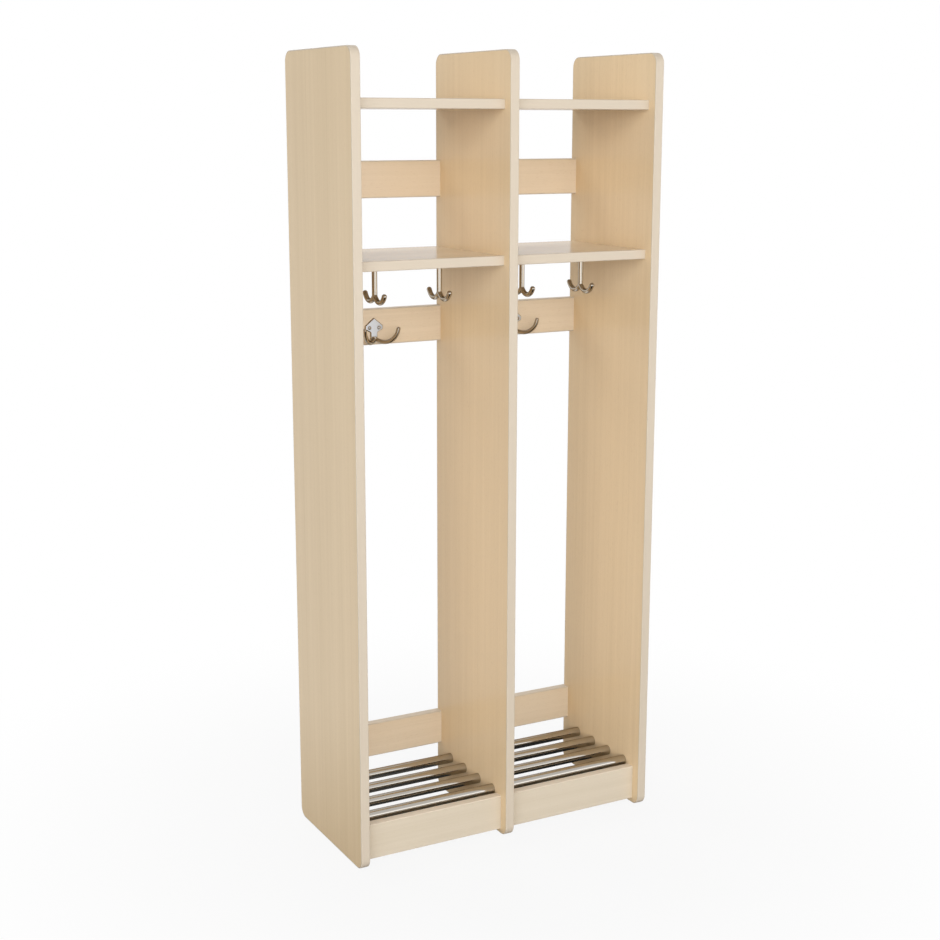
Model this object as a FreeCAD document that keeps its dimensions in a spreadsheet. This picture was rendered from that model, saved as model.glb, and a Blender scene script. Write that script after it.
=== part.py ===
"""Two-bay cloakroom locker unit: boards, edge bands, shoe tubes, hooks and hidden fittings.

Millimetres. X runs from the left side to the right side, Y from the front to the back and
Z upwards. The origin is on the floor, under the middle of the unit.
"""
import FreeCAD
import Part
import Sketcher

import math
import os

# Driving dimensions, kept in the spreadsheet under the same names.
SIZES = {
    # whole unit
    "unit_height": 1500.0,
    "unit_depth": 292.0,
    "bay_width": 293.0,
    "board": 18.0,
    "corner_radius": 20.0,
    # edge bands
    "band": 2.0,
    "band_round": 1.8,
    "glue_line": 0.05,
    # shelves: the drop is from the top of the unit to the top shelf's underside
    "shelf_front_inset": 21.0,
    "shelf_back_inset": 10.0,
    "top_shelf_drop": 104.0,
    "hat_space_height": 261.0,
    # rails and kick boards: the gaps are to the middle shelf, the heights are of lower edges
    "rail_width": 70.0,
    "upper_rail_gap": 96.0,
    "hook_rail_gap": 97.0,
    "lower_rail_height": 102.0,
    "kick_height": 10.0,
    "kick_front_inset": 21.0,
    # shoe tubes
    "tube_diameter": 20.0,
    "tube_wall": 1.2,
    "tube_axis_height": 82.2,
    "tube_front_inset": 54.8,
    "tube_pitch": 59.0,
    "socket_depth": 8.0,
    "socket_clearance": 0.08,
    "tube_end_play": 0.5,
    # hidden fittings
    "fit_clearance": 0.1,
    "end_clearance": 0.3,
    "dowel_diameter": 8.0,
    "dowel_length": 30.0,
    "dowel_embed": 8.0,
    "cam_diameter": 15.0,
    "cam_height": 13.2,
    "cam_distance": 24.0,
    "cam_slot_width": 2.0,
    "cam_slot_depth": 2.0,
    "cam_slot_length": 10.0,
    "bolt_diameter": 7.0,
    "bolt_embed": 8.0,
    "thread_diameter": 5.0,
    "bolt_neck_diameter": 4.0,
    "bolt_neck_length": 3.5,
    "bolt_head_length": 3.5,
    "bolt_overrun": 1.5,
    "cam_mouth_clearance": 0.2,
    "shelf_cam_inset": 50.0,
    "rail_cam_rise": 19.0,
    "rail_dowel_rise": 51.0,
    # twin hooks under the middle shelves
    "ceiling_hook_inset": 124.5,
    "ceiling_hook_spacing": 133.0,
    "hook_stem_diameter": 10.0,
    "hook_stem_length": 51.5,
    "hook_collar_diameter": 18.0,
    "hook_collar_height": 2.5,
    "hook_shank_diameter": 5.0,
    "hook_shank_length": 12.0,
    "hook_rod_diameter": 9.4,
    "hook_rod_run": 7.0,
    "hook_rod_dip": 45.0,
    "hook_rod_bend": 22.0,
    "hook_rod_rise": 56.0,
    "hook_rod_tip": 8.4,
    "hook_tip_round": 4.1,
    # twin hooks on the hook rails
    "wall_hook_offset": 0.5,
    "wall_hook_rise": 33.5,
    "plate_thickness": 3.0,
    "plate_half_width": 19.0,
    "plate_apex": 19.5,
    "plate_shoulder": 4.0,
    "plate_waist": 3.0,
    "plate_neck": 9.0,
    "plate_foot": 24.5,
    "plate_stem_half_width": 7.6,
    "plate_corner_round": 2.0,
    "plate_bevel": 1.6,
    "boss_margin": 0.5,
    "prong_diameter": 8.2,
    "prong_run": 10.4,
    "prong_dip": 18.5,
    "prong_bend": 28.4,
    "prong_rise": 76.0,
    "prong_tip": 9.0,
    "prong_tip_round": 3.6,
    "prong_spread": 48.5,
    "prong_wall_gap": 0.1,
    "prong_start_rise": 2.4,
    "hook_screw_spacing": 20.0,
    "hook_screw_diameter": 3.8,
    "hook_screw_length": 16.0,
    "hook_screw_head_diameter": 7.6,
    "hook_screw_head_height": 2.0,
}
TUBES_PER_BAY = 4
SIDES = ("left", "right")

doc = FreeCAD.newDocument("LockerUnit")
sheet = doc.addObject("Spreadsheet::Sheet", "Sizes")
for row, (name, value) in enumerate(SIZES.items(), start=1):
    sheet.set(f"A{row}", name)
    sheet.set(f"B{row}", str(value))
    sheet.setAlias(f"B{row}", name)
doc.recompute()


class Sizes:
    """The sheet's values, read by name, for placements and counts."""

    def __getattr__(self, name):
        return float(sheet.get(name))


size = Sizes()
nodes = []


def formula(text):
    """A formula over the sheet: words that are sizes become references to their cells."""
    words = text.split()
    return " ".join(f"Sizes.{word}" if word in SIZES else word for word in words)


def bind(thing, **formulas):
    """Tie properties of a document object to formulas over the sheet."""
    for prop, text in formulas.items():
        thing.setExpression(prop, formula(text))


def node(thing, label):
    """Give a sub-part its name and put it on the list of pieces to write."""
    thing.Label = label
    nodes.append(thing)
    return thing


def placed(x=0.0, y=0.0, z=0.0, axis=(1, 0, 0), angle=0.0):
    """A position with a turn about an axis."""
    turn = FreeCAD.Rotation(FreeCAD.Vector(*axis), angle)
    return FreeCAD.Placement(FreeCAD.Vector(x, y, z), turn)


def box(name, length, width, height, where):
    """Block with its low corner at the given place."""
    block = doc.addObject("Part::Box", name)
    bind(block, Length=length, Width=width, Height=height)
    block.Placement = where
    return block


# Turns that lay a cylinder's own +Z along a row axis.
ALONG = {
    "+X": ((0, 1, 0), 90.0),
    "-X": ((0, 1, 0), -90.0),
    "+Y": ((1, 0, 0), -90.0),
    "-Y": ((1, 0, 0), 90.0),
    "+Z": ((1, 0, 0), 0.0),
    "-Z": ((1, 0, 0), 180.0),
}


def rod(name, diameter, length, x, y, z, along):
    """Cylinder that starts at a point and runs along a row axis."""
    cylinder = doc.addObject("Part::Cylinder", name)
    bind(cylinder, Radius=f"( {diameter} ) / 2", Height=length)
    cylinder.Placement = placed(x, y, z, *ALONG[along])
    return cylinder


def fused(name, pieces, merge_faces=True):
    """One solid from overlapping or touching pieces."""
    joined = doc.addObject("Part::MultiFuse", name)
    joined.Shapes = pieces
    joined.Refine = merge_faces
    return joined


def bored(name, blank, bores):
    """A blank with its bores cut out."""
    cut = doc.addObject("Part::Cut", name)
    cut.Base = blank
    cut.Tool = bores[0] if len(bores) == 1 else fused(f"{name}_bores", bores)
    return cut


def origin_plane(body, role):
    """One of a body's own origin planes."""
    return next(item for item in body.Origin.OriginFeatures if item.Role == role)


def new_sketch(body, name, role):
    """Empty sketch on one of the body's origin planes."""
    sketch = body.newObject("Sketcher::SketchObject", name)
    sketch.AttachmentSupport = [(origin_plane(body, role), "")]
    sketch.MapMode = "FlatFace"
    return sketch


def polygon(sketch, corners):
    """Closed outline whose corners sit at pairs of formulas, given in order round it."""
    count = len(corners)
    ring = [2.0 * math.pi * k / count for k in range(count)]
    points = [FreeCAD.Vector(math.cos(turn), math.sin(turn), 0.0) for turn in ring]
    for k in range(count):
        sketch.addGeometry(Part.LineSegment(points[k], points[(k + 1) % count]), False)
    for k in range(count):
        sketch.addConstraint(Sketcher.Constraint("Coincident", k, 2, (k + 1) % count, 1))
    for k, pair in enumerate(corners):
        for kind, start, text in zip(("DistanceX", "DistanceY"), points[k], pair):
            index = sketch.addConstraint(Sketcher.Constraint(kind, -1, 1, k, 1, start))
            sketch.setExpression(f"Constraints[{index}]", formula(text))


def pad(body, sketch, name, length):
    """Pad of a sketch along its normal."""
    feature = body.newObject("PartDesign::Pad", name)
    feature.Profile = sketch
    bind(feature, Length=length)
    doc.recompute()
    return feature


def dressed(body, base, kind, name, chosen, **formulas):
    """Fillet or chamfer on the edges of a feature that the chosen test picks."""
    feature = body.newObject(f"PartDesign::{kind}", name)
    edges = enumerate(base.Shape.Edges, start=1)
    feature.Base = (base, [f"Edge{k}" for k, edge in edges if chosen(edge)])
    bind(feature, **formulas)
    doc.recompute()
    return feature


def rounded(body, base, name, radius, chosen):
    """Fillet on the chosen edges."""
    return dressed(body, base, "Fillet", name, chosen, Radius=radius)


def bevelled(body, base, name, width, chosen):
    """Chamfer on the chosen edges."""
    return dressed(body, base, "Chamfer", name, chosen, Size=width)


def runs_along(edge, axis):
    """True for a straight edge parallel to the axis number 0, 1 or 2."""
    if edge.Curve.TypeId != "Part::GeomLine":
        return False
    return abs(abs(edge.tangentAt(edge.FirstParameter)[axis]) - 1.0) < 1e-6


def across_x(edge):
    """True for an edge that stays in one plane square to X."""
    bounds = edge.BoundBox
    return bounds.XLength < 1e-6


# Lines that several pieces share.
FRONT = -size.unit_depth / 2
BACK = size.unit_depth / 2
UPRIGHT_X = {
    "left": -1.5 * size.board - size.bay_width,
    "middle": -0.5 * size.board,
    "right": 0.5 * size.board + size.bay_width,
}
BAY_X = {"left": -0.5 * size.board - size.bay_width, "right": 0.5 * size.board}
SHELF_FRONT = FRONT + size.shelf_front_inset
SHELF_BACK = BACK - size.shelf_back_inset
RAIL_Y = BACK - size.board
KICK_Y = FRONT + size.kick_front_inset

# Undersides of the shelves, and front faces and lower edges of the rails.
TOP_SHELF_Z = size.unit_height - size.top_shelf_drop
MIDDLE_SHELF_Z = TOP_SHELF_Z - size.hat_space_height - size.board
UPPER_RAIL_Z = MIDDLE_SHELF_Z + size.board + size.upper_rail_gap
HOOK_RAIL_Z = MIDDLE_SHELF_Z - size.hook_rail_gap - size.rail_width
SHELVES = {"middle_shelf": MIDDLE_SHELF_Z, "top_shelf": TOP_SHELF_Z}
RAILS = {
    "upper_rail": (RAIL_Y, UPPER_RAIL_Z),
    "hook_rail": (RAIL_Y, HOOK_RAIL_Z),
    "lower_rail": (RAIL_Y, size.lower_rail_height),
    "kick_board": (KICK_Y, size.kick_height),
}


def tube_places():
    """Y of each shoe tube's axis, from the front one to the back one."""
    first = FRONT + size.tube_front_inset
    return [first + k * size.tube_pitch for k in range(TUBES_PER_BAY)]


def shelf_fittings(height):
    """Cam and dowel places (y, z) on the end of a shelf with this underside."""
    middle = height + size.board / 2
    cams = (SHELF_FRONT + size.shelf_cam_inset, SHELF_BACK - size.shelf_cam_inset)
    dowel = (SHELF_FRONT + SHELF_BACK) / 2
    return [(y, middle) for y in cams], [(dowel, middle)]


def rail_fittings(face, height):
    """Cam and dowel places (y, z) on the end of a rail with this front face and lower edge."""
    middle = face + size.board / 2
    return [(middle, height + size.rail_cam_rise)], [(middle, height + size.rail_dowel_rise)]


def end_fittings():
    """All cam places and all dowel places (y, z) on one side of a bay."""
    pairs = [shelf_fittings(height) for height in SHELVES.values()]
    pairs += [rail_fittings(*place) for place in RAILS.values()]
    cams = [place for cam_list, _ in pairs for place in cam_list]
    dowels = [place for _, dowel_list in pairs for place in dowel_list]
    return cams, dowels


def rounded_slab(name, inset, thickness):
    """Upright outline with round corners, drawn in from the full outline by an inset."""
    body = doc.addObject("PartDesign::Body", name)
    outline = new_sketch(body, f"{name}_outline", "YZ_Plane")
    low_y, high_y = f"{inset} - unit_depth / 2", f"unit_depth / 2 - ( {inset} )"
    low_z, high_z = inset, f"unit_height - ( {inset} )"
    polygon(outline, [(low_y, low_z), (high_y, low_z), (high_y, high_z), (low_y, high_z)])
    block = pad(body, outline, f"{name}_pad", thickness)
    corner = f"corner_radius - ( {inset} )"
    return body, rounded(body, block, f"{name}_corners", corner, lambda e: runs_along(e, 0))


def upright_bores(name, face, along):
    """Sockets and fitting holes in an upright, from the face at X into the board."""
    bores = []
    for k, y in enumerate(tube_places(), start=1):
        bores.append(rod(f"{name}_socket_{k}", "tube_diameter + 2 * socket_clearance",
                         "socket_depth", face, y, size.tube_axis_height, along))
    cams, dowels = end_fittings()
    for k, (y, z) in enumerate(cams, start=1):
        bores.append(rod(f"{name}_bolt_hole_{k}", "thread_diameter + 2 * fit_clearance",
                         "bolt_embed + end_clearance", face, y, z, along))
    for k, (y, z) in enumerate(dowels, start=1):
        bores.append(rod(f"{name}_dowel_hole_{k}", "dowel_diameter + 2 * fit_clearance",
                         "dowel_embed + end_clearance", face, y, z, along))
    return bores


def make_upright(side):
    """Upright board with its bores, and the band that runs round its edge."""
    x = UPRIGHT_X[side]
    name = {"left": "left_side", "middle": "middle_divider", "right": "right_side"}[side]
    core, _ = rounded_slab(f"{name}_blank", "band + glue_line", "board")
    core.Placement = placed(x)
    bores = []
    if side != "left":
        bores += upright_bores(f"{name}_left_face", x, "+X")
    if side != "right":
        bores += upright_bores(f"{name}_right_face", x + size.board, "-X")
    node(bored(f"{name}_board", core, bores), name)

    outer, corners = rounded_slab(f"{name}_band_outer", "0", "board")
    rounded(outer, corners, f"{name}_band_edges", "band_round", across_x)
    outer.Placement = placed(x)
    inner, _ = rounded_slab(f"{name}_band_inner", "band", "3 * board")
    inner.Placement = placed(x - size.board)
    ring = doc.addObject("Part::Cut", f"{name}_band")
    ring.Base = outer
    ring.Tool = inner
    node(ring, f"{name}_edge_band")


def make_strip(label, where):
    """Straight edge band as long as a bay, its rounded face towards its own -Y."""
    body = doc.addObject("PartDesign::Body", label)
    section = new_sketch(body, f"{label}_section", "YZ_Plane")
    low, high = "0 - board / 2", "board / 2"
    polygon(section, [("0", low), ("band", low), ("band", high), ("0", high)])
    block = pad(body, section, f"{label}_pad", "bay_width")
    rounded(body, block, f"{label}_edges", "band_round",
            lambda e: runs_along(e, 0) and e.BoundBox.YMax < 1e-6)
    body.Placement = where
    node(body, label)


def member_bores(name, bay, cams, dowels, pocket):
    """Bolt, dowel and cam holes at both ends of a board between two uprights.

    pocket gives the cam pocket for a place (y, z): its start point and its direction.
    """
    bores = []
    ends = ((BAY_X[bay], 1, "+X"), (BAY_X[bay] + size.bay_width, -1, "-X"))
    for end, (x, way, along) in enumerate(ends):
        for k, (y, z) in enumerate(cams):
            tag = f"{name}_{end}_{k}"
            bores.append(rod(f"{tag}_bolt_hole", "bolt_diameter + 2 * fit_clearance",
                             "cam_distance", x, y, z, along))
            (pocket_y, pocket_z), inwards = pocket(y, z)
            bores.append(rod(f"{tag}_cam_pocket", "cam_diameter + 2 * fit_clearance",
                             "cam_height + end_clearance", x + way * size.cam_distance,
                             pocket_y, pocket_z, inwards))
        for k, (y, z) in enumerate(dowels):
            bores.append(rod(f"{name}_{end}_{k}_dowel_hole",
                             "dowel_diameter + 2 * fit_clearance",
                             "dowel_length - dowel_embed + end_clearance", x, y, z, along))
    return bores


def shelf_pocket(y, z):
    """Cam pocket of a shelf, bored up from its underside."""
    return (y, z - size.board / 2), "+Z"


def rail_pocket(y, z):
    """Cam pocket of a rail, bored forwards from its back face."""
    return (y + size.board / 2, z), "-Y"


def ceiling_hook_places(bay):
    """X and Y of the two hooks under a bay's middle shelf."""
    middle = BAY_X[bay] + size.bay_width / 2
    y = FRONT + size.ceiling_hook_inset
    return [(middle + way * size.ceiling_hook_spacing / 2, y) for way in (-1, 1)]


def wall_hook_place(bay):
    """X and Z of the point midway between a wall hook's two screws."""
    x = BAY_X[bay] + size.bay_width / 2 + size.wall_hook_offset
    return x, HOOK_RAIL_Z + size.wall_hook_rise


def hook_screw_places(bay):
    """X and Z of a wall hook's two screws."""
    x, z = wall_hook_place(bay)
    return [(x + way * size.hook_screw_spacing / 2, z) for way in (-1, 1)]


def make_shelf(kind, bay):
    """Shelf board with its bores, and the band on its front edge."""
    name = f"{kind}_{bay}"
    height = SHELVES[kind]
    drawn_in = "shelf_front_inset + shelf_back_inset + band + glue_line"
    blank = box(f"{name}_blank", "bay_width", f"unit_depth - ( {drawn_in} )", "board",
                placed(BAY_X[bay], SHELF_FRONT + size.band + size.glue_line, height))
    bores = member_bores(name, bay, *shelf_fittings(height), shelf_pocket)
    if kind == "middle_shelf":
        for k, (x, y) in enumerate(ceiling_hook_places(bay), start=1):
            bores.append(rod(f"{name}_hook_hole_{k}", "hook_shank_diameter + 2 * fit_clearance",
                             "hook_shank_length + end_clearance", x, y, height, "+Z"))
    node(bored(f"{name}_board", blank, bores), name)
    make_strip(f"{name}_front_band", placed(BAY_X[bay], SHELF_FRONT, height + size.board / 2))


def make_rail(kind, bay):
    """Rail or kick board with its bores, and the bands on its upper and lower edges."""
    name = f"{kind}_{bay}"
    face, height = RAILS[kind]
    edge = size.band + size.glue_line
    blank = box(f"{name}_blank", "bay_width", "board", "rail_width - 2 * ( band + glue_line )",
                placed(BAY_X[bay], face, height + edge))
    bores = member_bores(name, bay, *rail_fittings(face, height), rail_pocket)
    if kind == "hook_rail":
        for k, (x, z) in enumerate(hook_screw_places(bay), start=1):
            bores.append(rod(f"{name}_screw_hole_{k}", "hook_screw_diameter + 2 * fit_clearance",
                             "hook_screw_length - plate_thickness + end_clearance",
                             x, face, z, "+Y"))
    node(bored(f"{name}_board", blank, bores), name)
    middle = face + size.board / 2
    top = height + size.rail_width
    make_strip(f"{name}_top_band", placed(BAY_X[bay], middle, top, angle=-90.0))
    make_strip(f"{name}_bottom_band", placed(BAY_X[bay], middle, height, angle=90.0))


def make_tube(bay, number, y):
    """Shoe tube that turns in its two sockets."""
    label = f"shoe_tube_{bay}_{number}"
    start = (BAY_X[bay] - size.socket_depth + size.tube_end_play, y, size.tube_axis_height)
    length = "bay_width + 2 * ( socket_depth - tube_end_play )"
    outside = rod(f"{label}_outside", "tube_diameter", length, *start, "+X")
    inside = rod(f"{label}_inside", "tube_diameter - 2 * tube_wall", length, *start, "+X")
    node(bored(f"{label}_tube", outside, [inside]), label)


def bent_rod(name, diameter, run, dip, bend, rise, tip, tip_round):
    """Round rod that leaves the origin along +X, dips, bends up and ends in a straight tip."""
    body = doc.addObject("PartDesign::Body", name)
    path = new_sketch(body, f"{name}_path", "XZ_Plane")
    down, up = math.radians(SIZES[dip]), math.radians(SIZES[rise])
    radius = SIZES[bend]
    low = FreeCAD.Vector(math.cos(down), -math.sin(down), 0.0) * SIZES[run]
    centre = low + FreeCAD.Vector(math.sin(down), math.cos(down), 0.0) * radius
    high = centre + FreeCAD.Vector(math.sin(up), -math.cos(up), 0.0) * radius
    end = high + FreeCAD.Vector(math.cos(up), math.sin(up), 0.0) * SIZES[tip]
    quarter = math.pi / 2
    circle = Part.Circle(centre, FreeCAD.Vector(0, 0, 1), radius)
    path.addGeometry(Part.LineSegment(FreeCAD.Vector(), low), False)
    path.addGeometry(Part.ArcOfCircle(circle, -quarter - down, -quarter + up), False)
    path.addGeometry(Part.LineSegment(high, end), False)
    path.addConstraint(Sketcher.Constraint("Coincident", 0, 1, -1, 1))
    path.addConstraint(Sketcher.Constraint("Tangent", 0, 2, 1, 1))
    path.addConstraint(Sketcher.Constraint("Tangent", 1, 2, 2, 1))
    for constraint, text in (
        (Sketcher.Constraint("Distance", 0, SIZES[run]), run),
        (Sketcher.Constraint("Angle", 0, -down), f"0 deg - {dip} * 1 deg"),
        (Sketcher.Constraint("Radius", 1, radius), bend),
        (Sketcher.Constraint("Angle", 2, up), f"{rise} * 1 deg"),
        (Sketcher.Constraint("Distance", 2, SIZES[tip]), tip),
    ):
        index = path.addConstraint(constraint)
        path.setExpression(f"Constraints[{index}]", formula(text))
    section = new_sketch(body, f"{name}_section", "YZ_Plane")
    section.AttachmentOffset = placed(angle=math.degrees(down))
    section.addGeometry(Part.Circle(FreeCAD.Vector(), FreeCAD.Vector(0, 0, 1), 1.0), False)
    section.addConstraint(Sketcher.Constraint("Coincident", 0, 3, -1, 1))
    index = section.addConstraint(Sketcher.Constraint("Diameter", 0, 2.0))
    section.setExpression(f"Constraints[{index}]", formula(diameter))
    doc.recompute()
    pipe = body.newObject("PartDesign::AdditivePipe", f"{name}_pipe")
    pipe.Profile = section
    pipe.Spine = (path, ["Edge1", "Edge2", "Edge3"])
    doc.recompute()
    ahead = FreeCAD.Vector(math.cos(up), 0.0, math.sin(up))
    last = FreeCAD.Vector(end.x, 0.0, end.y).dot(ahead)
    # The round of the tip is limited by the rod's own thickness.
    rounded(body, pipe, f"{name}_tip", f"min( {tip_round} ; 0.45 * {diameter} )",
            lambda e: all(v.Point.dot(ahead) > last - 0.01 for v in e.Vertexes))
    return body


def make_ceiling_hook(bay, number, x, y):
    """Twin hook screwed up into a middle shelf: shank, collar, stem and two rods."""
    label = f"ceiling_hook_{bay}_{number}"
    z = MIDDLE_SHELF_Z
    foot = z - size.hook_collar_height - size.hook_stem_length
    pieces = [
        rod(f"{label}_shank", "hook_shank_diameter", "hook_shank_length", x, y, z, "+Z"),
        rod(f"{label}_collar", "hook_collar_diameter", "hook_collar_height", x, y, z, "-Z"),
        rod(f"{label}_stem", "hook_stem_diameter", "hook_stem_length + hook_collar_height",
            x, y, z, "-Z"),
    ]
    for way, turn in (("front", -90.0), ("rear", 90.0)):
        arm = bent_rod(f"{label}_{way}_rod", "hook_rod_diameter", "hook_rod_run",
                       "hook_rod_dip", "hook_rod_bend", "hook_rod_rise", "hook_rod_tip",
                       "hook_tip_round")
        arm.Placement = placed(x, y, foot, (0, 0, 1), turn)
        pieces.append(arm)
    node(fused(f"{label}_fused", pieces), label)


def make_wall_hook(bay):
    """Twin hook on a hook rail: bevelled plate, boss at its foot and two spread prongs."""
    label = f"wall_hook_{bay}"
    x, z = wall_hook_place(bay)
    body = doc.addObject("PartDesign::Body", f"{label}_plate")
    outline = new_sketch(body, f"{label}_outline", "XZ_Plane")
    half = [
        ("plate_half_width", "plate_shoulder"),
        ("plate_half_width", "0 - plate_waist"),
        ("plate_stem_half_width", "0 - plate_neck"),
        ("plate_stem_half_width", "0 - plate_foot"),
    ]
    mirrored = [(f"0 - {across}", up) for across, up in reversed(half)]
    polygon(outline, [("0", "plate_apex")] + half + mirrored)
    plate = pad(body, outline, f"{label}_pad", "plate_thickness")
    corners = rounded(body, plate, f"{label}_corners", "plate_corner_round",
                      lambda e: runs_along(e, 1))
    # The bevel is limited by the corners and by the plate's own thickness.
    bevelled(body, corners, f"{label}_bevel",
             "min( plate_bevel ; 0.9 * plate_corner_round ; 0.6 * plate_thickness )",
             lambda e: e.BoundBox.YMax < 1e-6 - size.plate_thickness)
    body.Placement = placed(x, RAIL_Y, z)
    start_y = RAIL_Y - size.prong_wall_gap - size.prong_diameter / 2 - size.boss_margin
    start_z = z - size.plate_foot + size.prong_start_rise
    boss = rod(f"{label}_boss", "prong_diameter + 2 * boss_margin",
               "prong_diameter + 2 * boss_margin", x, start_y,
               start_z - size.prong_diameter / 2 - size.boss_margin, "+Z")
    pieces = [body, boss]
    for way, turn in (("left", 270.0 - size.prong_spread), ("right", 270.0 + size.prong_spread)):
        arm = bent_rod(f"{label}_{way}_prong", "prong_diameter", "prong_run", "prong_dip",
                       "prong_bend", "prong_rise", "prong_tip", "prong_tip_round")
        arm.Placement = placed(x, start_y, start_z, (0, 0, 1), turn)
        pieces.append(arm)
    bores = [rod(f"{label}_screw_hole_{k}", "hook_screw_diameter + 2 * fit_clearance",
                 "plate_thickness", hole_x, RAIL_Y, hole_z, "-Y")
             for k, (hole_x, hole_z) in enumerate(hook_screw_places(bay), start=1)]
    # The seams between the boss and the prongs stay: without them the solid isn't sound.
    hook = fused(f"{label}_fused", pieces, merge_faces=False)
    node(bored(f"{label}_bored", hook, bores), label)


def make_cam():
    """Cam disc about its own axis, top face at the origin, mouth towards its own -X."""
    disc = rod("cam_disc", "cam_diameter", "cam_height", 0, 0, 0, "-Z")
    reach = "cam_diameter / 2 + bolt_overrun + cam_mouth_clearance"
    mouth = rod("cam_mouth", "bolt_diameter + 2 * cam_mouth_clearance", reach,
                -size.cam_diameter / 2, 0, -size.board / 2, "+X")
    slot = box("cam_slot", "cam_slot_length", "cam_slot_width", "cam_slot_depth",
               placed(-size.cam_slot_length / 2, -size.cam_slot_width / 2, -size.cam_slot_depth))
    return bored("cam_master", disc, [mouth, slot])


def make_bolt():
    """Cam bolt along +X from the tip of its thread, its shoulder at the origin."""
    head_end = size.cam_distance + size.bolt_overrun
    neck_end = head_end - size.bolt_head_length
    shank = "cam_distance + bolt_overrun - bolt_head_length - bolt_neck_length"
    return fused("bolt_master", [
        rod("bolt_thread", "thread_diameter", "bolt_embed", 0, 0, 0, "-X"),
        rod("bolt_shank", "bolt_diameter", shank, 0, 0, 0, "+X"),
        rod("bolt_neck", "bolt_neck_diameter", "bolt_neck_length",
            neck_end - size.bolt_neck_length, 0, 0, "+X"),
        rod("bolt_head", "bolt_diameter", "bolt_head_length", neck_end, 0, 0, "+X"),
    ])


def make_hook_screw():
    """Wood screw along +Y, the underside of its head at the origin."""
    return fused("screw_master", [
        rod("screw_shank", "hook_screw_diameter", "hook_screw_length", 0, 0, 0, "+Y"),
        rod("screw_head", "hook_screw_head_diameter", "hook_screw_head_height", 0, 0, 0, "-Y"),
    ])


def make_group(label, master, places):
    """Identical small fittings as one sub-part: a copy of the master at each place."""
    group = doc.addObject("Part::Feature", label)
    copies = []
    for where in places:
        copy = master.Shape.copy()
        copy.Placement = where.multiply(copy.Placement)
        copies.append(copy)
    group.Shape = Part.makeCompound(copies)
    node(group, label)


def fitting_ends():
    """Each end of each board between uprights: its X, the way into it and its fittings."""
    for bay in SIDES:
        for x, turn in ((BAY_X[bay], 0.0), (BAY_X[bay] + size.bay_width, 180.0)):
            for height in SHELVES.values():
                yield x, turn, shelf_fittings(height), shelf_pocket
            for place in RAILS.values():
                yield x, turn, rail_fittings(*place), rail_pocket


def make_fittings():
    """Cam discs, cam bolts, dowels and wall hook screws, each kind as one group."""
    cam, bolt, screw = make_cam(), make_bolt(), make_hook_screw()
    dowel = rod("dowel_master", "dowel_diameter", "dowel_length", -size.dowel_embed, 0, 0, "+X")
    doc.recompute()
    cam_places, bolt_places, dowel_places = [], [], []
    for x, turn, (cams, dowels), pocket in fitting_ends():
        way = 1 if turn == 0.0 else -1
        upright = FreeCAD.Rotation(FreeCAD.Vector(0, 0, 1), turn)
        # A shelf's cam faces down and a rail's cam faces back.
        if pocket is shelf_pocket:
            facing = FreeCAD.Rotation(FreeCAD.Vector(1, 0, 0), 180.0)
        else:
            facing = FreeCAD.Rotation(FreeCAD.Vector(1, 0, 0), -90.0 * way)
        for y, z in cams:
            (pocket_y, pocket_z), _ = pocket(y, z)
            spot = FreeCAD.Vector(x + way * size.cam_distance, pocket_y, pocket_z)
            cam_places.append(FreeCAD.Placement(spot, upright.multiply(facing)))
            bolt_places.append(FreeCAD.Placement(FreeCAD.Vector(x, y, z), upright))
        for y, z in dowels:
            dowel_places.append(FreeCAD.Placement(FreeCAD.Vector(x, y, z), upright))
    make_group("cam_discs", cam, cam_places)
    make_group("cam_bolts", bolt, bolt_places)
    make_group("wood_dowels", dowel, dowel_places)
    screw_y = RAIL_Y - size.plate_thickness
    make_group("wall_hook_screws", screw,
               [placed(x, screw_y, z) for bay in SIDES for x, z in hook_screw_places(bay)])


for side in UPRIGHT_X:
    make_upright(side)
for bay in SIDES:
    for kind in SHELVES:
        make_shelf(kind, bay)
    for kind in RAILS:
        make_rail(kind, bay)
    for number, y in enumerate(tube_places(), start=1):
        make_tube(bay, number, y)
    for number, (x, y) in enumerate(ceiling_hook_places(bay), start=1):
        make_ceiling_hook(bay, number, x, y)
    make_wall_hook(bay)
make_fittings()
doc.recompute()

faults = [item.Label for item in doc.Objects if {"Invalid", "Error"} & set(item.State)]
for piece in nodes:
    if piece.Shape.isNull() or not piece.Shape.isValid() or not piece.Shape.Solids:
        faults.append(piece.Label)
if faults:
    raise RuntimeError("Not built: " + ", ".join(faults))

os.makedirs("parts", exist_ok=True)
for piece in nodes:
    piece.Shape.exportStep(f"parts/{piece.Label}.step")
    print(piece.Label, len(piece.Shape.Solids), round(piece.Shape.Volume, 1))
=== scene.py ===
import math
from collections import namedtuple

import bmesh
import bpy
import numpy as np
from mathutils import Matrix, Vector


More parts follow.
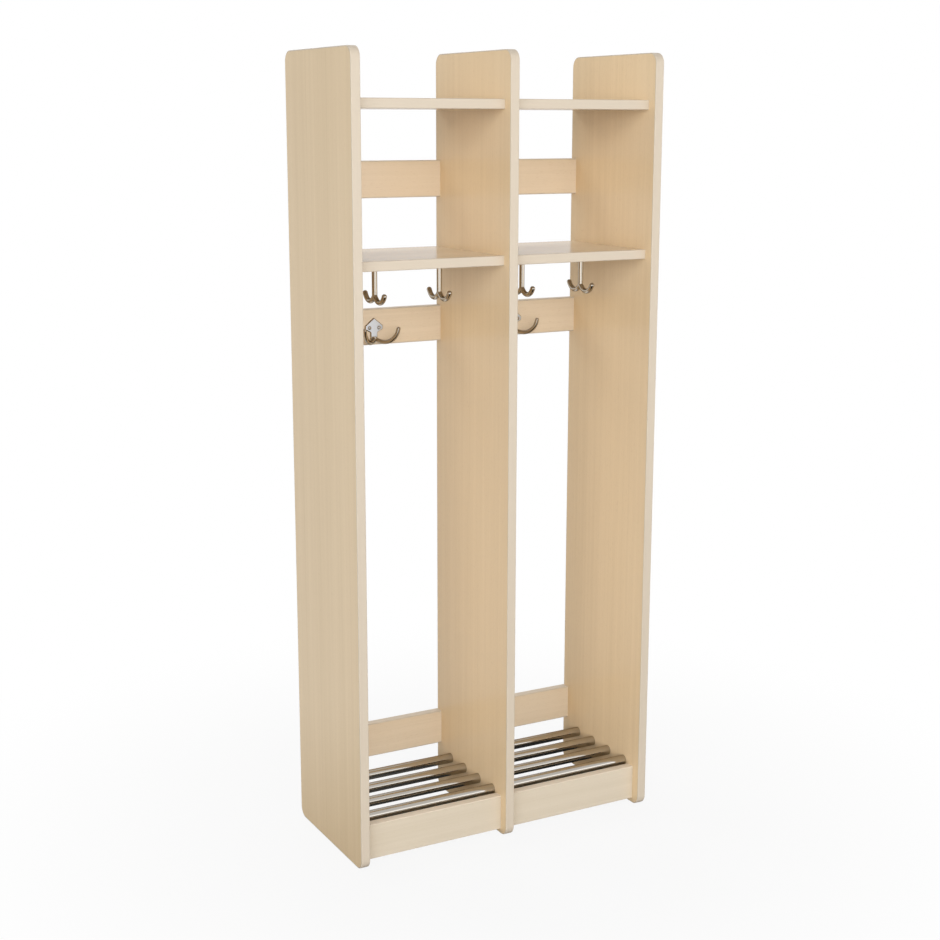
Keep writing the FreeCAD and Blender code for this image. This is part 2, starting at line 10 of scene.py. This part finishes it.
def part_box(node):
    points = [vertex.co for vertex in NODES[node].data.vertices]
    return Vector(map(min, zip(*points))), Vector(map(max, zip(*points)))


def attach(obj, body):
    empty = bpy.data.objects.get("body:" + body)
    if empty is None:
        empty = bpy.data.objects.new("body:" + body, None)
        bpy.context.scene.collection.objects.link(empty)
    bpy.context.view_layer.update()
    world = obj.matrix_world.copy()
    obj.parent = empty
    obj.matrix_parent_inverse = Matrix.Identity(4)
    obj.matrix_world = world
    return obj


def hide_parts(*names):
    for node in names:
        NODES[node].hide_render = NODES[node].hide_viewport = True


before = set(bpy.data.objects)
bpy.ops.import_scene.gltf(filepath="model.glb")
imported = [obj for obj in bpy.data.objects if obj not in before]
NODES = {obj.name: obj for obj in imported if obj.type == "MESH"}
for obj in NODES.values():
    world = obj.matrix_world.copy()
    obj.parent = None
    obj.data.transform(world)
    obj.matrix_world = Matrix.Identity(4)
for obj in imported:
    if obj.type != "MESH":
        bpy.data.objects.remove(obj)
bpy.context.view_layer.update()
scene = bpy.context.scene

# Where a point's three numbers are.
X, Y, Z = range(3)

# Camera, solved from the straight edges of the unit; the picture is square. Angles are in
# degrees, and LEVEL is the tip at which a camera looks level.
PICTURE_PX = 940
FOCAL_PX = 1600.05
SENSOR_MM = 36.0
CAMERA_AT = (-1.46336, -2.67464, 1.37669)
CAMERA_YAW = -28.494
CAMERA_PITCH = -12.338
CAMERA_ROLL = 0.088
LEVEL = 90.0


def place_camera():
    """Camera that looks along +Y, turned by the yaw, tipped by the pitch, then rolled."""
    data = bpy.data.cameras.new("photo_camera")
    data.sensor_fit = "HORIZONTAL"
    data.sensor_width = SENSOR_MM
    data.lens = FOCAL_PX / PICTURE_PX * SENSOR_MM
    camera = bpy.data.objects.new("photo_camera", data)
    scene.collection.objects.link(camera)
    turn = Matrix.Rotation(math.radians(CAMERA_YAW), 4, "Z")
    tip = Matrix.Rotation(math.radians(LEVEL + CAMERA_PITCH), 4, "X")
    roll = Matrix.Rotation(math.radians(CAMERA_ROLL), 4, "Z")
    camera.matrix_world = Matrix.Translation(CAMERA_AT) @ turn @ tip @ roll
    scene.camera = camera


def rgb(red, green, blue):
    """Opaque colour, as a socket takes it."""
    return (red, green, blue, 1.0)


WHITE = rgb(1.0, 1.0, 1.0)

# Sockets of a Mix node that mixes colours; those for plain numbers have the same names.
MIX_SHARE = 0
MIX_FIRST = 6
MIX_SECOND = 7
MIX_RESULT = 2


class Field:
    """A socket of a finish; arithmetic on one that carries a number adds Math nodes."""

    def __init__(self, finish, socket):
        self.finish = finish
        self.socket = socket

    def _math(self, operation, first, second):
        settings = {"operation": operation}
        return self.finish.add("ShaderNodeMath", settings, {0: first, 1: second})

    def __add__(self, other):
        return self._math("ADD", self, other)

    __radd__ = __add__

    def __sub__(self, other):
        return self._math("SUBTRACT", self, other)

    def __rsub__(self, other):
        return self._math("SUBTRACT", other, self)

    def __mul__(self, other):
        return self._math("MULTIPLY", self, other)

    __rmul__ = __mul__

    def __truediv__(self, other):
        return self._math("DIVIDE", self, other)

    def higher(self, other):
        """The larger of the two numbers."""
        return self._math("MAXIMUM", self, other)


class Finish:
    """A node tree under construction: one method adds any node, sets it and links it."""

    def __init__(self, tree):
        tree.nodes.clear()
        self.tree = tree

    def add(self, kind, settings=None, sockets=None, out=0):
        """Node of a kind: its settings first, then its sockets' values or links."""
        node = self.tree.nodes.new(kind)
        for name, value in (settings or {}).items():
            if name == "stops":
                self._stops(node.color_ramp, value)
            else:
                setattr(node, name, value)
        for name, value in (sockets or {}).items():
            if isinstance(value, Field):
                self.tree.links.new(value.socket, node.inputs[name])
            else:
                node.inputs[name].default_value = value
        return Field(self, node.outputs[out]) if node.outputs else None

    @staticmethod
    def _stops(ramp, stops):
        for element, (place, grey) in zip(ramp.elements, stops):
            element.position = place
            element.color = rgb(grey, grey, grey)

    def noise(self, waves, detail=2.0, roughness=0.5, distortion=0.0):
        """Noise from 0 to 1 with its own number of waves per metre along each axis."""
        here = self.add("ShaderNodeTexCoord", out="Object")
        place = self.add("ShaderNodeMapping", None, {"Vector": here, "Scale": waves})
        return self.add("ShaderNodeTexNoise", {"noise_dimensions": "3D"}, {
            "Vector": place, "Scale": 1.0, "Detail": detail,
            "Roughness": roughness, "Distortion": distortion})

    def along(self, vector, axis):
        """One number of a vector, on the axis X, Y or Z."""
        return self.add("ShaderNodeSeparateXYZ", None, {"Vector": vector}, out=axis)

    def ramp(self, value, stops):
        """Grey level read off a line through two stops, each a place and a level."""
        return self.add("ShaderNodeValToRGB", {"stops": stops}, {"Fac": value})

    def rise(self, value, reach):
        """Smooth step from 0 to 1 as the value passes through a reach."""
        start, end = reach
        return self.add("ShaderNodeMapRange", {"interpolation_type": "SMOOTHSTEP"},
                        {"Value": value, "From Min": start, "From Max": end})

    def mix(self, share, first, second):
        """Colour between two colours."""
        return self.add("ShaderNodeMix", {"data_type": "RGBA"},
                        {MIX_SHARE: share, MIX_FIRST: first, MIX_SECOND: second},
                        out=MIX_RESULT)

    def bump(self, height, distance):
        """Normal of a surface raised by the height times a distance in metres."""
        return self.add("ShaderNodeBump", None, {"Height": height, "Distance": distance})


def new_finish(name):
    """New material of this name, and its empty node tree."""
    material = bpy.data.materials.new(name)
    material.use_nodes = True
    return material, Finish(material.node_tree)


def surface(finish, **sockets):
    """Principled surface with these sockets, joined to the material's output."""
    named = {key.replace("_", " "): value for key, value in sockets.items()}
    shader = finish.add("ShaderNodeBsdfPrincipled", None, named)
    finish.add("ShaderNodeOutputMaterial", None, {"Surface": shader})


def wear(names, material):
    """Give CAD nodes a material in each of their slots."""
    for name in names:
        for slot in NODES[name].material_slots:
            slot.link = "DATA"
            slot.material = material


# Layers of the maple decor: waves per metre across the grain and along it, and the noise's
# detail, roughness and distortion.
Layer = namedtuple("Layer", "across lengthwise detail roughness distortion")
BROAD = Layer(13.0, 0.5, 2.0, 0.5, 0.3)
STREAK = Layer(85.0, 1.1, 3.0, 0.55, 0.15)
LINE = Layer(260.0, 2.6, 2.0, 0.6, 0.0)
FIBRE = Layer(900.0, 11.0, 2.0, 0.6, 0.0)
FLECK = Layer(800.0, 130.0, 1.0, 0.5, 0.0)
BAND_LINE = Layer(420.0, 4.0, 3.0, 0.6, 0.0)
BAND_FIBRE = Layer(1400.0, 30.0, 2.0, 0.5, 0.0)

# Share of each layer in a board's tone, and where the tone turns from dark to pale.
BROAD_SHARE = 0.3
STREAK_SHARE = 0.34
LINE_SHARE = 0.2
FIBRE_SHARE = 0.16
TONE_STOPS = [(0.34, 0.0), (0.66, 1.0)]
# Flecks: where the noise becomes one, its brown, how much of that shows, and how far it is sunk
# as a share of the grain's height.
FLECK_STOPS = [(0.62, 0.0), (0.74, 1.0)]
FLECK_BROWN = rgb(0.45, 0.28, 0.14)
FLECK_SHARE = 0.16
FLECK_SINK = 0.5
# Satin of the boards: roughness, what fibres and flecks each add to it, and the index.
BOARD_ROUGHNESS = 0.17
GRAIN_ROUGHNESS = 0.06
BOARD_IOR = 1.3
# Bands: share of lines and of fibres in the tone, roughness, what lines add to it, and the index.
BAND_LINE_SHARE = 0.7
BAND_FIBRE_SHARE = 0.3
BAND_ROUGHNESS = 0.3
BAND_LINE_ROUGHNESS = 0.08
BAND_IOR = 1.35
# Height of the grain on boards and bands, in metres.
GRAIN_HEIGHT = 0.00001

# Dark and pale tone of each decor.
MAPLE_UPRIGHT = (rgb(0.74, 0.57, 0.357), rgb(0.82, 0.645, 0.422))
MAPLE_CROSSPIECE = (rgb(0.66, 0.543, 0.395), rgb(0.735, 0.613, 0.463))
# Painted shade: the kick board's tone is a darker, greyer copy of the crosspieces' maple, making
# up for the front light on it.
KICK_MAPLE_WITH_PAINTED_SHADE = (rgb(0.58, 0.50, 0.385), rgb(0.64, 0.56, 0.445))
# Partly the bands' own paler, greyer tone and partly painted shade: they are darker than that
# tone, making up for the front light on the board edges.
MAPLE_BAND_WITH_PAINTED_SHADE = (rgb(0.55, 0.47, 0.37), rgb(0.595, 0.515, 0.415))
# Painted light: the kick board's bands are paler than the other bands, making up for the shade on
# the kick board's top edge.
KICK_BAND_WITH_PAINTED_LIGHT = (rgb(0.63, 0.54, 0.425), rgb(0.68, 0.59, 0.475))
BEECH = (rgb(0.62, 0.46, 0.30), rgb(0.74, 0.58, 0.41))


def grain(finish, layer, axes):
    """Noise of a layer, drawn out along the axes of the grain."""
    waves = tuple(layer.lengthwise if axis in axes else layer.across for axis in "XYZ")
    return finish.noise(waves, layer.detail, layer.roughness, layer.distortion)


def maple_board(name, axes, tones):
    """Satin maple decor: broad bands, streaks, lines and fibres along the grain, small flecks."""
    dark, pale = tones
    material, finish = new_finish(name)
    broad = grain(finish, BROAD, axes)
    streak = grain(finish, STREAK, axes)
    line = grain(finish, LINE, axes)
    fibre = grain(finish, FIBRE, axes)
    fleck = finish.ramp(grain(finish, FLECK, axes), FLECK_STOPS)
    tone = (broad * BROAD_SHARE + streak * STREAK_SHARE
            + line * LINE_SHARE + fibre * FIBRE_SHARE)
    wood = finish.mix(finish.ramp(tone, TONE_STOPS), dark, pale)
    surface(finish, Base_Color=finish.mix(fleck * FLECK_SHARE, wood, FLECK_BROWN),
            Roughness=BOARD_ROUGHNESS + fibre * GRAIN_ROUGHNESS + fleck * GRAIN_ROUGHNESS,
            IOR=BOARD_IOR, Normal=finish.bump(fibre - fleck * FLECK_SINK, GRAIN_HEIGHT))
    return material


def edge_band(name, axes, tones):
    """Satin band in the same decor, its fine lines running along the band."""
    dark, pale = tones
    material, finish = new_finish(name)
    line = grain(finish, BAND_LINE, axes)
    fibre = grain(finish, BAND_FIBRE, axes)
    colour = finish.mix(line * BAND_LINE_SHARE + fibre * BAND_FIBRE_SHARE, dark, pale)
    surface(finish, Base_Color=colour, Roughness=BAND_ROUGHNESS + line * BAND_LINE_ROUGHNESS,
            IOR=BAND_IOR, Normal=finish.bump(fibre, GRAIN_HEIGHT))
    return material


# Metals: colour seen square on and at a slant, roughness, and waves per metre of the drawn lines.
Metal = namedtuple("Metal", "colour slant roughness waves")
STEEL_SLANT = rgb(0.8, 0.8, 0.8)
# Painted shade: the dark brown slant colours of the tube chrome and the hook metal darken their
# rims where they are seen at a slant.
TUBE_CHROME = Metal(rgb(0.50, 0.47, 0.425), rgb(0.35, 0.25, 0.12), 0.09, (3.0, 500.0, 500.0))
HOOK_METAL = Metal(rgb(0.54, 0.49, 0.42), rgb(0.32, 0.24, 0.14), 0.11, (60.0, 60.0, 60.0))
SCREW_METAL = Metal(rgb(0.62, 0.62, 0.62), STEEL_SLANT, 0.2, (400.0, 400.0, 400.0))
CAM_METAL = Metal(rgb(0.55, 0.55, 0.56), STEEL_SLANT, 0.35, (300.0, 300.0, 300.0))
BOLT_METAL = Metal(rgb(0.60, 0.60, 0.58), STEEL_SLANT, 0.3, (300.0, 300.0, 300.0))
# Least share of a metal's roughness, and what the drawn lines add to that share.
LEAST_ROUGHNESS = 0.7
DRAWN_ROUGHNESS = 0.6

# Plate of a wall hook: its thickness in metres, the colour of its satin skin, painted paler and
# bluer as a reflection so that the rim stays dark as painted shade, and the square of the distance
# from its front, in mm, over which that skin ends.
PLATE_THICKNESS = 0.003
PLATE_PAINTED_SHEEN_COLOUR = rgb(0.63, 0.66, 0.70)
PLATE_SATIN_AND_SHEEN_REACH = (0.04, 0.2)
MM_PER_M = 1000.0
# Roughness of a wall hook's prongs, what their lines and the plate's skin add to it, and the
# lines' waves per metre.
PRONG_ROUGHNESS = 0.1
PRONG_LINE_ROUGHNESS = 0.06
PLATE_ROUGHNESS = 0.22
PRONG_WAVES = (70.0, 70.0, 70.0)


def plating(name, metal):
    """Polished plating with faint drawn lines, in a second tint where it is seen at a slant; on
    the tubes and hooks that tint is a dark brown painted shade on their rims.
    """
    material, finish = new_finish(name)
    line = finish.noise(metal.waves)
    surface(finish, Base_Color=metal.colour, Metallic=1.0, Specular_Tint=metal.slant,
            Roughness=metal.roughness * (LEAST_ROUGHNESS + line * DRAWN_ROUGHNESS))
    return material


def wall_hook_plating(name, metal, plate_front):
    """Hook plating, satin and with a painted paler reflection on the plate's flat front, a plane
    across Y.
    """
    material, finish = new_finish(name)
    here = finish.add("ShaderNodeTexCoord", out="Object")
    away = (finish.along(here, "Y") - plate_front) * MM_PER_M
    plate = 1.0 - finish.rise(away * away, PLATE_SATIN_AND_SHEEN_REACH)
    line = finish.noise(PRONG_WAVES)
    # Painted reflection: the plate's front is mixed to the paler plate colour; the rest stays in
    # the darker hook colour, painted shade on the rim.
    surface(finish, Base_Color=finish.mix(plate, metal.colour, PLATE_PAINTED_SHEEN_COLOUR), Metallic=1.0,
            Specular_Tint=metal.slant,
            Roughness=PRONG_ROUGHNESS + line * PRONG_LINE_ROUGHNESS + plate * PLATE_ROUGHNESS)
    return material


def dress_boards():
    """Upright grain on the uprights, level grain on what lies between them."""
    uprights = ["left_side", "middle_divider", "right_side"]
    crosspieces = [n for n in NODES if "shelf" in n or "rail" in n or "kick" in n]
    bands = [n for n in crosspieces if n.endswith("band")]
    kick_bands = [n for n in bands if "kick" in n]
    kicks = [n for n in crosspieces if "kick" in n and n not in bands]
    wear(uprights, maple_board("maple_upright", "Z", MAPLE_UPRIGHT))
    wear([n for n in crosspieces if n not in bands + kicks],
         maple_board("maple_crosspiece", "X", MAPLE_CROSSPIECE))
    # The kick boards wear their darker copy of the maple, painted shade.
    wear(kicks, maple_board("maple_kick_board_painted_shade", "X", KICK_MAPLE_WITH_PAINTED_SHADE))
    # The bands' decor is partly their own tone and partly painted shade.
    wear([n + "_edge_band" for n in uprights], edge_band("upright_band", "YZ", MAPLE_BAND_WITH_PAINTED_SHADE))
    wear([n for n in bands if n not in kick_bands], edge_band("crosspiece_band", "X", MAPLE_BAND_WITH_PAINTED_SHADE))
    # The kick boards' bands wear their paler copy of the band decor, painted light.
    wear(kick_bands, edge_band("kick_board_band_painted_light", "X", KICK_BAND_WITH_PAINTED_LIGHT))
    wear(["wood_dowels"], maple_board("dowel_look", "X", BEECH))


def dress_metal():
    """Chrome on the tubes, bronze tinted plating on the hooks, plain steel on the fittings."""
    tubes = [n for n in NODES if n.startswith("shoe_tube")]
    wear(tubes, plating("tube_chrome_look", TUBE_CHROME))
    hooks = [n for n in NODES if n.startswith("ceiling_hook")]
    wear(hooks, plating("ceiling_hook_look", HOOK_METAL))
    plate_front = min(corner[Y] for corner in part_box("hook_rail_left")) - PLATE_THICKNESS
    wear(["wall_hook_left", "wall_hook_right"],
         wall_hook_plating("wall_hook_painted_sheen_look", HOOK_METAL, plate_front))
    wear(["cam_discs"], plating("cam_look", CAM_METAL))
    wear(["cam_bolts"], plating("bolt_look", BOLT_METAL))


# Screws of the wall hooks, in metres; HEAD_ROUND is the power p of the head's outline, and the
# turn of each cross is in radians.
SCREW_SPACING = 0.02
HEAD_HEIGHT = 0.002
HEAD_ROUND = 2.4
SHANK_RADIUS = 0.0019
POINT_LENGTH = 0.004
CROSS_ARM = 0.0021
CROSS_HALF_WIDTH = 0.0005
CROSS_DEPTH = 0.001
CROSS_EDGE = 0.00012
CROSS_TURNS = (0.3, 1.1, 0.7, 0.15)
HEAD_RINGS = 32
ROUND_STEPS = 96
MERGE_REACH = 1e-7


def within(distance, half):
    """1 inside a bar of this half width and 0 outside, with a smooth edge, 3s^2 - 2s^3."""
    step = np.clip((half + CROSS_EDGE - np.abs(distance)) / (2.0 * CROSS_EDGE), 0.0, 1.0)
    return step * step * (3.0 - 2.0 * step)


def screw(x, z, head_top, tip, head_radius, cross_turn):
    """Outline turned about Y: round head |r/R|^p + |d/h|^p = 1, straight shank, pointed end.

    The head is sunk by the cross depth inside two crossing bars.
    """
    head_under = head_top + HEAD_HEIGHT
    bow = np.linspace(0.0, np.pi / 2.0, HEAD_RINGS)
    head_out = head_radius * np.sin(bow) ** (2.0 / HEAD_ROUND)
    head_deep = head_under - HEAD_HEIGHT * np.cos(bow) ** (2.0 / HEAD_ROUND)
    radius = np.concatenate([head_out, [SHANK_RADIUS, SHANK_RADIUS, 0.0]])[:, None]
    depth = np.concatenate([head_deep, [head_under, tip - POINT_LENGTH, tip]])[:, None]
    angle = np.linspace(0.0, 2.0 * np.pi, ROUND_STEPS, endpoint=False)
    arm = radius * np.cos(angle - cross_turn)
    leg = radius * np.sin(angle - cross_turn)
    cross = np.maximum(within(arm, CROSS_ARM) * within(leg, CROSS_HALF_WIDTH),
                       within(leg, CROSS_ARM) * within(arm, CROSS_HALF_WIDTH))
    cross[HEAD_RINGS:] = 0.0
    return np.stack([x + radius * np.cos(angle), depth + CROSS_DEPTH * cross,
                     z + radius * np.sin(angle)], -1)


def turned_piece(name, grids, material):
    """Closed skins over grids of rings; the points of a pole are merged into one."""
    rings, steps = grids[0].shape[:2]
    ring, step = np.meshgrid(np.arange(rings - 1), np.arange(steps), indexing="ij")
    after = (step + 1) % steps
    quads = np.stack([ring * steps + step, ring * steps + after,
                      (ring + 1) * steps + after, (ring + 1) * steps + step], -1).reshape(-1, 4)
    shift = np.arange(len(grids))[:, None, None] * rings * steps
    points = np.concatenate([grid.reshape(-1, 3) for grid in grids])
    mesh = bpy.data.meshes.new(name)
    mesh.from_pydata(points.tolist(), [], (quads[None] + shift).reshape(-1, 4).tolist())
    solid = bmesh.new()
    solid.from_mesh(mesh)
    bmesh.ops.remove_doubles(solid, verts=solid.verts, dist=MERGE_REACH)
    bmesh.ops.recalc_face_normals(solid, faces=solid.faces)
    solid.to_mesh(mesh)
    solid.free()
    mesh.shade_smooth()
    mesh.materials.append(material)
    piece = bpy.data.objects.new(name, mesh)
    scene.collection.objects.link(piece)
    return piece


def add_hook_screws():
    """Two screws in each wall hook's plate, where the CAD ones are, with domed, cut heads."""
    low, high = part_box("wall_hook_screws")
    z = (low[Z] + high[Z]) / 2.0
    middles = [sum(corner[X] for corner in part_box(f"wall_hook_{bay}")) / 2.0
               for bay in ("left", "right")]
    places = [x + way * SCREW_SPACING / 2.0 for x in middles for way in (-1, 1)]
    grids = [screw(x, z, low[Y], high[Y], (high[Z] - low[Z]) / 2.0, turn)
             for x, turn in zip(places, CROSS_TURNS)]
    screws = turned_piece("hook_screws", grids, plating("screw_look", SCREW_METAL))
    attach(screws, "cabinet")
    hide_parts("wall_hook_screws")


# Floor, in metres: its half width, its grey, and the share of its shading that is seen near the
# unit, which fades out over a reach.
FLOOR_REACH = 40.0
FLOOR_GREY = 0.5
SHADOW_SEEN = 0.10
SHADOW_REACH = (0.3, 1.3)
# Floor in a reflection, a painted reflection: its brightness near a middle point in front of the
# unit, painted dark there as shade, the distance from there over which it rises to white, how much
# brighter than white it is far in front of the unit and aside, and the distance in front over
# which that begins.
MIRROR_NEAR = 0.03
MIRROR_MIDDLE = (0.5, -1.2, 0.0)
MIRROR_REACH = (1.2, 2.3)
MIRROR_FRONT = 0.8
MIRROR_FRONT_REACH = (2.0, 4.0)
# Brightness of the studio as fill light, and in a reflection, where it is a painted reflection:
# behind the unit, straight in front of it, and aside of that at the horizon and overhead.
AMBIENT = 0.32
BACK_SHEEN = 0.85
MIDDLE_SHEEN = 0.5
HORIZON_GLOW = 2.3
HORIZON_TOP = 0.9
# Stretches over which it changes: a ray's own Z, its own -Y, and the square of its slant aside.
HORIZON_REACH = (0.0, 0.7)
FRONT_REACH = (0.0, 0.5)
ASIDE_REACH = (0.01, 0.09)
# Soft lamps: place, width and height in metres, and power in watts; each is aimed at the unit.
LAMPS = {
    "front_softbox": ((0.0, -6.76, 1.6), 8.0, 3.0, 230.0),
    "side_softbox": ((-3.88, -5.54, 2.61), 8.0, 4.0, 340.0),
    "back_softbox": ((0.0, 3.27, 3.74), 4.0, 2.4, 118.0),
    "right_softbox": ((5.2, 1.6, 2.6), 6.0, 4.0, 100.0),
}
LAMP_AIM = (0.0, 0.0, 0.8)


def looking(finish):
    """Two numbers: 1 on the camera's own rays, and 1 on rays off or through a glossy surface."""
    camera = finish.add("ShaderNodeLightPath", out="Is Camera Ray")
    glossy = finish.add("ShaderNodeLightPath", out="Is Glossy Ray")
    through = finish.add("ShaderNodeLightPath", out="Is Transmission Ray")
    return camera, glossy.higher(through)


def pale_floor():
    """Matt pale grey: white to the eye but for the unit's shadow. A reflection shows it painted,
    not
    shaded: painted dark just in front of the unit, white further out, and far in front of the
    unit painted dim straight ahead and brightest to either side, a painted reflection."""
    material, finish = new_finish("pale_floor")
    grey = rgb(FLOOR_GREY, FLOOR_GREY, FLOOR_GREY)
    matt = finish.add("ShaderNodeBsdfDiffuse", None, {"Color": grey})
    here = finish.add("ShaderNodeTexCoord", out="Object")
    away = finish.add("ShaderNodeVectorMath", {"operation": "LENGTH"}, {0: here}, out="Value")
    camera, mirrored = looking(finish)
    seen = 1.0 - SHADOW_SEEN + finish.rise(away, SHADOW_REACH) * SHADOW_SEEN
    ahead = finish.add("ShaderNodeVectorMath", {"operation": "DISTANCE"},
                       {0: here, 1: MIRROR_MIDDLE}, out="Value")
    across = finish.along(here, "X")
    behind = finish.along(here, "Y")
    front = finish.rise(0.0 - behind, MIRROR_FRONT_REACH)
    aside = finish.rise(across * across / (behind * behind), ASIDE_REACH)
    level = 1.0 + front * (MIDDLE_SHEEN - 1.0 + aside * (1.0 + MIRROR_FRONT - MIDDLE_SHEEN))
    # Painted reflection: what a reflection shows of the floor, painted dark near the unit as shade
    # and brighter than white far in front and aside.
    shown = MIRROR_NEAR + finish.rise(ahead, MIRROR_REACH) * (level - MIRROR_NEAR)
    white = finish.add("ShaderNodeEmission", None,
                       {"Color": WHITE, "Strength": camera + mirrored * shown})
    both = finish.add("ShaderNodeMixShader", None,
                      {0: camera * seen + mirrored, 1: matt, 2: white})
    finish.add("ShaderNodeOutputMaterial", None, {"Surface": both})
    return material


def lay_floor():
    """One square of the plane z = 0, its corners taken round so that it faces up."""
    edge = np.array([-FLOOR_REACH, FLOOR_REACH])
    x, y = np.meshgrid(edge, edge)
    corners = np.stack([x.ravel(), y.ravel(), np.zeros(x.size)], 1)
    mesh = bpy.data.meshes.new("floor")
    mesh.from_pydata(corners.tolist(), [], [(0, 1, 3, 2)])
    mesh.materials.append(pale_floor())
    floor = bpy.data.objects.new("floor", mesh)
    scene.collection.objects.link(floor)


def surround():
    """White studio to the eye, with a little fill light. In a reflection its front is a painted
    reflection, dim straight ahead and bright to either side, most of all at the horizon."""
    world = bpy.data.worlds.new("studio")
    world.use_nodes = True
    scene.world = world
    finish = Finish(world.node_tree)
    camera, mirrored = looking(finish)
    ray = finish.add("ShaderNodeTexCoord", out="Generated")
    up = finish.along(ray, "Z")
    back = finish.along(ray, "Y")
    across = finish.along(ray, "X")
    # Painted reflection: this brightness is shown only in reflections.
    aside = finish.rise(across * across, ASIDE_REACH)
    low = 1.0 - finish.rise(up, HORIZON_REACH)
    glow = HORIZON_TOP + low * low * (HORIZON_GLOW - HORIZON_TOP)
    front = MIDDLE_SHEEN + aside * (glow - MIDDLE_SHEEN)
    sheen = BACK_SHEEN + finish.rise(0.0 - back, FRONT_REACH) * (front - BACK_SHEEN)
    fill = (1.0 - camera.higher(mirrored)) * AMBIENT
    studio = finish.add("ShaderNodeBackground", None,
                        {"Color": WHITE, "Strength": camera + mirrored * sheen + fill})
    finish.add("ShaderNodeOutputWorld", None, {"Surface": studio})


def hang_lamps():
    """Large soft lamps that show neither to the camera nor in a reflection."""
    for name, (at, width, height, watts) in LAMPS.items():
        data = bpy.data.lights.new(name, "AREA")
        data.shape = "RECTANGLE"
        data.size = width
        data.size_y = height
        data.energy = watts
        lamp = bpy.data.objects.new(name, data)
        scene.collection.objects.link(lamp)
        lamp.location = at
        aim = Vector(LAMP_AIM) - lamp.location
        lamp.rotation_euler = aim.to_track_quat("-Z", "Y").to_euler()
        lamp.visible_camera = False
        lamp.visible_glossy = False


place_camera()
dress_boards()
dress_metal()
add_hook_screws()
lay_floor()
surround()
hang_lamps()
scene.view_settings.view_transform = "Standard"
